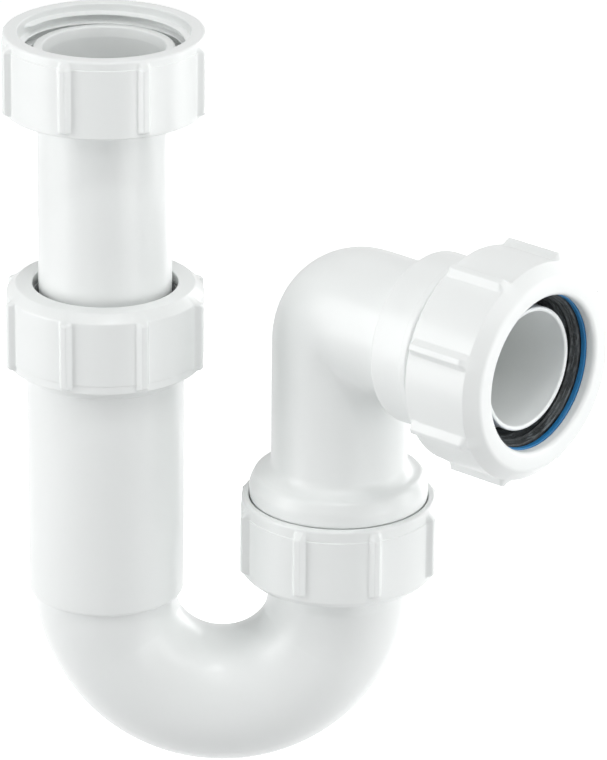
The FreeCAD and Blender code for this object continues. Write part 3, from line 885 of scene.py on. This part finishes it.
INLET_WASHER = TurnedRing(
    "inlet_washer", "inlet_tail", "black_rubber", LAYOUT.inlet,
    flat(inner=17.4, outer=19.1, low=-13.9, high=-10.9, roundings=(EDGE, EDGE, 0.5, 0.5)), BLACK, 160,
)
SLIP_RING = TurnedRing(
    "slip_ring", "slip_ring", "white_plastic", LAYOUT.inlet,
    flat(inner=17.8, outer=21.3, low=-69.4, high=-67.8), WHITE, 128,
)
SWIVEL_SEAL = TurnedRing(
    "swivel_seal", "swivel_seal", "black_rubber", LAYOUT.outlet_leg,
    flat(inner=14.8, outer=21.0, low=11.7, high=13.9), BLACK, 128,
)
OUTLET_SLIP_RING = TurnedRing(
    "outlet_slip_ring", "outlet_slip_ring", "blue_plastic", LAYOUT.outlet,
    flat(inner=19.1, outer=23.4, low=60.1, high=61.5, roundings=(0.25, 0.25, EDGE, 0.25)), BLUE,
)


@dataclass(frozen=True)
class OutletSeal:
    """The ridged wedge seal that grips the waste pipe."""

    front: float = 59.8
    flange: float = 1.6
    wedge: float = 6.5
    mouth: float = 18.6
    throat: float = 16.6
    wide: float = 19.9
    narrow: float = 18.1
    outside: float = 23.4
    ridges: int = 3
    ridge_height: float = 0.45
    ridge_half: float = 0.55
    ridge_lift: float = 0.05

    def build(self) -> bpy.types.Object:
        """Builds and dresses the seal.

        Returns:
            The seal's piece.
        """
        seat = self.front - self.flange
        back = seat - self.wedge
        length = self.front - back
        corners = [
            Corner(self.throat, back, FINE_EDGE),
            Corner(self.narrow, back, FINE_EDGE),
            Corner(self.wide, seat, TIGHT_EDGE),
            Corner(self.outside, seat, FINE_EDGE),
            Corner(self.outside, self.front, EDGE),
            Corner(self.mouth, self.front, 0.45),
        ]
        pitch = length / (self.ridges + 1)
        for ridge in range(self.ridges, 0, -1):
            station = back + pitch * ridge
            wall = self.throat + (self.mouth - self.throat) * ridge / (self.ridges + 1)
            corners += [
                Corner(wall + self.ridge_lift, station + self.ridge_half, EDGE),
                Corner(wall - self.ridge_height, station, EDGE),
                Corner(wall, station - self.ridge_half, EDGE),
            ]
        made = TurnedRing("outlet_seal", "outlet_elbow", "black_rubber", LAYOUT.outlet, tuple(corners), BLACK)
        return made.build()


# Trap body


@dataclass(frozen=True)
class TrapBody:
    """Socket, U bend and outlet leg, as one tube along a path.

    Stations run down the socket, round the bend and up the outlet leg, from the start of the bend.
    A slope is the length over which a wall steps to its next radius.
    """

    socket: float = 19.5
    draft: float = 0.15
    collar: float = 0.45
    collar_slope: float = 0.25
    foot_round: float = 1.2
    foot_slope: float = 0.12
    bend: float = 17.1
    wall: float = 2.3
    flare: float = 0.85
    flare_length: float = 13.0
    flare_round: float = 12.0
    leg_flare_share: float = 0.6
    leg_flare_length: float = 4.0
    male_thread: float = 21.3
    mouth: float = 75.0
    thread_bottom: float = 63.0
    thread_slope: float = 0.2
    collar_bottom: float = 58.7
    pipe_bore: float = 16.7
    pipe_stop: float = 2.0
    pipe_slope: float = 0.3
    wedge: float = 5.0
    taper: float = 2.4
    leg_flange: float = 21.0
    leg_flange_seat: float = 8.2
    leg_top: float = 11.2
    around: int = 192

    @property
    def curve(self) -> float:
        """Radius of the bend's centre line."""
        return LAYOUT.leg_spacing / 2

    @property
    def bend_length(self) -> float:
        """Length of the bend's centre line."""
        return math.pi * self.curve

    def outline(self) -> np.ndarray:
        """The outer skin's section down the path and the inner one's back.

        Returns:
            Rows of radius and station.
        """
        far = self.bend_length
        bore = self.bend - self.wall
        corners = [
            Corner(self.male_thread, -self.mouth, 0.4),
            Corner(self.male_thread, -self.thread_bottom, EDGE),
            Corner(self.socket + self.collar, -self.thread_bottom + self.thread_slope, FINE_EDGE),
            Corner(self.socket + self.collar, -self.collar_bottom, 0.22),
            Corner(self.socket, -self.collar_bottom + self.collar_slope, TIGHT_EDGE),
            Corner(self.socket - self.draft, 0.0, self.foot_round),
            Corner(self.bend + self.flare, self.foot_slope, 0.5),
            Corner(self.bend, self.flare_length, self.flare_round),
            Corner(self.bend, far - self.flare_length, self.flare_round),
            Corner(self.bend + self.flare * self.leg_flare_share, far, 4.0),
            Corner(self.bend, far + self.leg_flare_length, 1.0),
            Corner(self.bend, far + self.leg_flange_seat, EDGE),
            Corner(self.leg_flange, far + self.leg_flange_seat, EDGE),
            Corner(self.leg_flange, far + self.leg_top, EDGE),
            Corner(bore, far + self.leg_top, EDGE),
            Corner(bore, -self.pipe_stop, FINE_EDGE),
            Corner(self.pipe_bore, -self.pipe_stop - self.pipe_slope, FINE_EDGE),
            Corner(self.pipe_bore, -self.mouth + self.wedge + self.pipe_slope, 0.5),
            Corner(self.pipe_bore + self.taper, -self.mouth, EDGE),
        ]

        def wanted(start: np.ndarray, end: np.ndarray) -> float:
            """Longest piece of a run, short round the bend."""
            middle = (start[1] + end[1]) / 2
            return BEND_PIECE if -1 < middle < far + 1 else TUBE_PIECE

        return finer(rounded(corners), wanted)

    def build(self) -> bpy.types.Object:
        """Builds and dresses the trap body.

        Returns:
            The body's piece.
        """
        outline = self.outline()
        radius, station = outline[:, 0][:, None], outline[:, 1][:, None]
        angle = even_angles(self.around)[None, :]
        bent = np.clip(station, 0, self.bend_length) / self.curve
        before = np.minimum(station, 0)
        after = np.maximum(station - self.bend_length, 0)
        across = self.curve - self.curve * np.cos(bent)
        level = -self.curve * np.sin(bent) - before + after
        spoke = radius * np.cos(angle)
        rings = np.stack([
            across - spoke * np.cos(bent),
            radius * np.sin(angle),
            LAYOUT.bend_level + level - spoke * np.sin(bent),
        ], axis=-1)
        return settle(skin("trap_body_moulding", rings), "trap_body", "trap_body", WHITE)


# Outlet elbow


@dataclass(frozen=True)
class OutletElbow:
    """Riser with its domed skirt, the tight elbow and the arm with its collar, as one skin.

    Stations run up the riser to the elbow and out along the arm. The elbow is a fan of sections
    round a pivot in its throat. Drops are counted down from the nut's rim and rises up from it, and
    a slope is the length over which a wall steps to its next radius.
    """

    radius: float = 17.0
    bore: float = 14.2
    knuckle: float = 8.6
    fan: float = 21.5
    throat_round: float = 5.0
    bore_throat: float = 1.0
    throat_share: float = 0.45
    foot: float = -61.3
    rim: float = -50.7
    male_foot: float = 21.3
    male_drop: float = 1.5
    skirt_foot: float = 22.0
    skirt_drop: float = 1.3
    skirt_slope: float = 0.4
    hem: float = 22.25
    hem_rise: float = 1.22
    belly: float = 22.35
    belly_rise: float = 4.4
    shoulder: float = 21.0
    shoulder_rise: float = 7.4
    top_rise: float = 8.4
    collar_start: float = 27.7
    collar: float = 21.6
    bead: float = 22.3
    bead_start: float = 37.4
    bead_end: float = 39.4
    bead_slope: float = 0.2
    male_outlet: float = 23.7
    thread_start: float = 43.1
    thread_slope: float = 0.3
    socket_front: float = 57.9
    socket: float = 18.4
    socket_stop: float = 30.0
    taper: float = 1.8
    wedge: float = 6.5
    spigot: float = 15.4
    spigot_rim: float = 59.2
    around: int = 192
    sections: int = 44
    halvings: int = 34

    def riser(self, radius: float, corners: Sequence[Corner]) -> np.ndarray:
        """The riser's section up to the fan's first one.

        Args:
            radius: Radius of the tube at the fan.
            corners: Corners of the section from the bore's foot up.

        Returns:
            Rows of radius and station.
        """
        closed = [*corners, Corner(radius, -self.fan), Corner(0, -self.fan), Corner(0, self.foot)]
        made = rounded(closed)
        off_axis = 0.1
        return np.array([point for point in made if point[0] > off_axis])

    def distance(self, points: np.ndarray, throat: float) -> np.ndarray:
        """Distance from the elbow's centre line, with the throat filled by a soft blend.

        Args:
            points: Points as (across, side, up) from where the elbow's axes cross.
            throat: Size of the blend in the throat.

        Returns:
            The distance of each point.
        """
        x, y, z = points[..., 0], points[..., 1], points[..., 2]
        pivot = self.knuckle
        riser = np.hypot(x, y)
        arm = np.hypot(z, y)
        swing = np.hypot(np.hypot(x - pivot, z + pivot) - pivot, y)
        inside = (x > pivot) & (z < -pivot)
        never_zero = 1e-6
        size = np.minimum(throat, self.throat_share * np.hypot(x - pivot, z + pivot)) + never_zero
        mix = np.clip(0.5 + (arm - riser) / (2 * size), 0, 1)
        blended = arm + (riser - arm) * mix - size * mix * (1 - mix)
        straight = np.where(z <= -pivot, riser, np.where(x >= pivot, arm, swing))
        return np.where(inside, blended, straight)

    def bent_rings(self, radius: float, throat: float) -> np.ndarray:
        """The fan of sections round the elbow.

        Args:
            radius: Radius of the tube.
            throat: Size of the blend in the throat.

        Returns:
            Rings in the elbow's own frame, from the riser to the arm.
        """
        swing = np.linspace(0, math.pi / 2, self.sections)[:, None]
        angle = even_angles(self.around)[None, :]
        reach = self.fan
        away = np.stack([-np.cos(swing), 0 * swing, np.sin(swing)], axis=-1)
        centre = np.array([reach, 0, -reach]) + away * reach
        spoke = away * -np.cos(angle)[..., None] + np.array([0, 1, 0]) * np.sin(angle)[..., None]
        low = np.zeros(angle.shape) + swing * 0
        high = low + reach + radius
        for _ in range(self.halvings):
            middle = (low + high) / 2
            outside = self.distance(centre + spoke * middle[..., None], throat) > radius
            high = np.where(outside, middle, high)
            low = np.where(outside, low, middle)
        return centre + spoke * low[..., None]

    def straight_rings(self, outline: np.ndarray, upright: bool) -> np.ndarray:
        """Rings of the riser or of the arm in the elbow's own frame.

        Args:
            outline: Rows of radius and station.
            upright: True for the riser, False for the arm.

        Returns:
            The rings in the outline's order.
        """
        radius, station = outline[:, 0][:, None], outline[:, 1][:, None]
        angle = even_angles(self.around)[None, :]
        spoke = radius * np.cos(angle)
        side = radius * np.sin(angle)
        along = station + 0 * angle
        if upright:
            return np.stack([spoke, side, along], axis=-1)
        return np.stack([along, side, -spoke], axis=-1)

    def build(self) -> bpy.types.Object:
        """Builds and dresses the elbow.

        Returns:
            The elbow's piece.
        """
        rim = self.rim
        riser = self.riser(self.radius, [
            Corner(self.bore, self.foot),
            Corner(self.male_foot, self.foot, EDGE),
            Corner(self.male_foot, rim - self.male_drop, FINE_EDGE),
            Corner(self.skirt_foot, rim - self.skirt_drop, TIGHT_EDGE),
            Corner(self.skirt_foot, rim + self.hem_rise - self.skirt_slope, 0.15),
            Corner(self.hem, rim + self.hem_rise, EDGE),
            Corner(self.belly, rim + self.belly_rise, 3.0),
            Corner(self.shoulder, rim + self.shoulder_rise, 2.0),
            Corner(self.radius, rim + self.top_rise, 3.2),
        ])
        front, stop = self.socket_front, self.socket_stop
        arm = rounded([
            Corner(0.0, self.fan),
            Corner(self.radius, self.fan),
            Corner(self.radius, self.collar_start, 1.2),
            Corner(self.collar, self.collar_start, 0.9),
            Corner(self.collar, self.bead_start - self.bead_slope, EDGE),
            Corner(self.bead, self.bead_start, 0.6),
            Corner(self.bead, self.bead_end, 0.6),
            Corner(self.collar, self.bead_end + self.bead_slope, FINE_EDGE),
            Corner(self.collar, self.thread_start, FINE_EDGE),
            Corner(self.male_outlet, self.thread_start + self.thread_slope, EDGE),
            Corner(self.male_outlet, front, 0.4),
            Corner(self.socket + self.taper, front, EDGE),
            Corner(self.socket, front - self.wedge, 0.5),
            Corner(self.socket, stop, EDGE),
            Corner(self.spigot, stop, EDGE),
            Corner(self.spigot, self.spigot_rim, 0.45),
            Corner(self.bore, self.spigot_rim, 0.5),
            Corner(self.bore, self.fan),
        ])[1:]
        rings = np.concatenate([
            self.straight_rings(riser[:-1], upright=True),
            self.bent_rings(self.radius, self.throat_round)[:-1],
            self.straight_rings(arm[:-1], upright=False),
            self.bent_rings(self.bore, self.bore_throat)[::-1],
        ])
        turn = math.radians(-LAYOUT.outlet_turn)
        cos, sin = math.cos(turn), math.sin(turn)
        x, y, z = rings[..., 0], rings[..., 1], rings[..., 2]
        placed = np.stack([
            LAYOUT.leg_spacing + x * cos - y * sin,
            x * sin + y * cos,
            LAYOUT.outlet_level + z,
        ], axis=-1)
        piece = skin("outlet_elbow_moulding", placed)
        return settle(piece, "outlet_elbow", "outlet_elbow", WHITE)


# Studio


@dataclass(frozen=True)
class SoftBox:
    """A rectangular lamp that looks at the trap.

    The bearing is counted in degrees from the camera's side, to the right, and the lift from level.
    """

    name: str
    bearing: float
    lift: float
    power: float
    width: float = 300.0
    height: float = 800.0
    distance: float = 800.0
    aim: tuple[float, float, float] = (28.9, 0.0, -91.0)

    def build(self) -> bpy.types.Object:
        """Hangs the lamp.

        Returns:
            The lamp.
        """
        lamp = bpy.data.lights.new(self.name, "AREA")
        lamp.shape = "RECTANGLE"
        lamp.size = self.width * MM
        lamp.size_y = self.height * MM
        lamp.energy = self.power
        swing, lift = math.radians(self.bearing), math.radians(self.lift)
        away = Vector((math.sin(swing) * math.cos(lift), -math.cos(swing) * math.cos(lift), math.sin(lift)))
        holder = in_scene(self.name, lamp)
        holder.location = (Vector(self.aim) + away * self.distance) * MM
        holder.rotation_euler = (-away).to_track_quat("-Z", "Y").to_euler()
        return holder


@dataclass(frozen=True)
class Studio:
    """Camera, pale floor, white surroundings and soft boxes. Colours are linear."""

    focal_pixels: float = 5256.5
    elevation: float = 22.02
    azimuth: float = 0.19
    roll: float = 0.61
    distance: float = 1301.0
    target: tuple[float, float, float] = (28.9, 0.0, -91.0)
    target_pixel: tuple[float, float] = (222.5, 381.2)
    sensor: float = 36.0
    nearest: float = 0.05
    farthest: float = 50.0
    floor_level: float = -330.0
    floor_reach: float = 6000.0
    floor_shade: tuple[float, float, float] = (0.64, 0.645, 0.65)
    floor_specular: float = 0.1
    floor_roughness: tuple[float, float] = (0.85, 0.95)
    floor_glow: float = 0.92
    fibre_scale: float = 220.0
    fibre_depth: float = 0.1
    surround: float = 0.02
    surround_shade: tuple[float, float, float] = (0.985, 1.0, 0.998)
    boxes: tuple[SoftBox, ...] = (
        SoftBox("left_rear_box", -95.0, 8.0, 1.24),
        SoftBox("left_box", -75.0, 8.0, 2.68),
        SoftBox("left_front_box", -60.0, 8.0, 1.30),
        SoftBox("right_box", 60.0, 8.0, 1.85),
        SoftBox("far_right_box", 95.0, 8.0, 2.10),
        SoftBox("right_rear_box", 140.0, 8.0, 2.30),
        SoftBox("high_left_box", -45.0, 50.0, 0.20, 450.0, 450.0),
        SoftBox("high_front_box", 0.0, 50.0, 0.98, 450.0, 450.0),
        SoftBox("sparkle_box", 8.0, 62.0, 0.55, 45.0, 45.0),
        SoftBox("high_right_box", 45.0, 50.0, 0.86, 450.0, 450.0),
        SoftBox("high_rear_box", 180.0, 50.0, 0.42, 450.0, 450.0),
        SoftBox("top_box", 0.0, 88.0, 1.05, 600.0, 600.0),
        SoftBox("low_right_box", 40.0, -12.0, 1.15, 400.0, 300.0),
    )

    def camera(self) -> bpy.types.Object:
        """Sets the camera where the photograph was taken.

        Returns:
            The camera.
        """
        lift, swing, roll = (math.radians(value) for value in (self.elevation, self.azimuth, self.roll))
        level = math.cos(lift)
        forward = Vector((math.sin(swing) * level, math.cos(swing) * level, -math.sin(lift)))
        right = Vector((math.cos(swing), -math.sin(swing), 0.0))
        up = right.cross(forward)
        level_right = right * math.cos(roll) + up * math.sin(roll)
        up = up * math.cos(roll) - right * math.sin(roll)
        right = level_right
        across = (self.target_pixel[0] - PHOTO_WIDTH / 2) / self.focal_pixels
        down = (self.target_pixel[1] - PHOTO_HEIGHT / 2) / self.focal_pixels
        eye = Vector(self.target) - (forward + right * across - up * down) * self.distance
        data = bpy.data.cameras.new("camera")
        data.sensor_width = self.sensor
        data.lens = self.focal_pixels / PHOTO_HEIGHT * data.sensor_width
        data.clip_start, data.clip_end = self.nearest, self.farthest
        holder = in_scene("camera", data)
        turn = Matrix((right, up, -forward)).transposed()
        holder.matrix_world = Matrix.Translation(eye * MM) @ turn.to_4x4()
        bpy.context.scene.camera = holder
        return holder

    def world(self) -> None:
        """Surrounds the scene with an even pale light that looks white."""
        world = bpy.data.worlds.new("surround")
        bpy.context.scene.world = world
        world.use_nodes = True
        sheet = Sheet(world.node_tree)
        dim = sheet.first("BACKGROUND")
        dim.inputs["Color"].default_value = (*self.surround_shade, 1.0)
        dim.inputs["Strength"].default_value = self.surround
        bright = sheet.add("Background", Color=(1.0, 1.0, 1.0, 1.0), Strength=1.0)
        sheet.show_to_eyes(dim.outputs[0], bright.outputs[0], "OUTPUT_WORLD")

    def floor(self) -> bpy.types.Object:
        """Lays the pale floor, which keeps the trap's shadow.

        Returns:
            The floor.
        """
        mesh = bpy.data.meshes.new("floor")
        reach, level = self.floor_reach * MM, self.floor_level * MM
        corners = [(x * reach, y * reach, level) for x, y in ((-1, -1), (1, -1), (1, 1), (-1, 1))]
        mesh.from_pydata(corners, [], [(0, 1, 2, 3)])
        piece = in_scene("floor", mesh)
        material = bpy.data.materials.new("floor_paper")
        material.use_nodes = True
        sheet = Sheet(material.node_tree)
        shader = sheet.first("BSDF_PRINCIPLED")
        place = sheet.add("TexCoord").outputs["Object"]
        fibre = sheet.add("TexNoise", Vector=place, Scale=self.fibre_scale, Detail=4.0).outputs["Fac"]
        low, high = self.floor_roughness
        rough = sheet.add("MapRange", Value=fibre, To_Min=low, To_Max=high)
        sheet.join(rough.outputs["Result"], shader.inputs["Roughness"])
        bump = sheet.add("Bump", Strength=0.2, Distance=self.fibre_depth * MM, Height=fibre)
        sheet.join(bump.outputs["Normal"], shader.inputs["Normal"])
        shader.inputs["Base Color"].default_value = (*self.floor_shade, 1.0)
        shader.inputs["Specular IOR Level"].default_value = self.floor_specular
        glow = sheet.add("Emission", Color=(1.0, 1.0, 1.0, 1.0), Strength=self.floor_glow)
        both = sheet.chain("AddShader", [shader.outputs[0], glow.outputs[0]])
        sheet.show_to_eyes(shader.outputs[0], both, "OUTPUT_MATERIAL")
        mesh.materials.append(material)
        return piece

    def build(self) -> None:
        """Sets up the whole studio."""
        self.camera()
        self.world()
        self.floor()
        for box in self.boxes:
            box.build()
        bpy.context.scene.view_settings.view_transform = "Standard"


def main() -> None:
    """Builds the trap's pieces in order, then the studio."""
    logging.basicConfig(level=logging.INFO, format="%(name)s: %(message)s")
    for nut in (INLET_NUT, COMPRESSION_NUT, SWIVEL_NUT, OUTLET_NUT):
        nut.build(WHITE)
    InletTail().build()
    for ring in (INLET_WASHER, SLIP_RING, SlipSeal(), SWIVEL_SEAL, OUTLET_SLIP_RING, OutletSeal()):
        ring.build()
    TrapBody().build()
    OutletElbow().build()
    Studio().build()


if __name__ == "__main__":
    main()
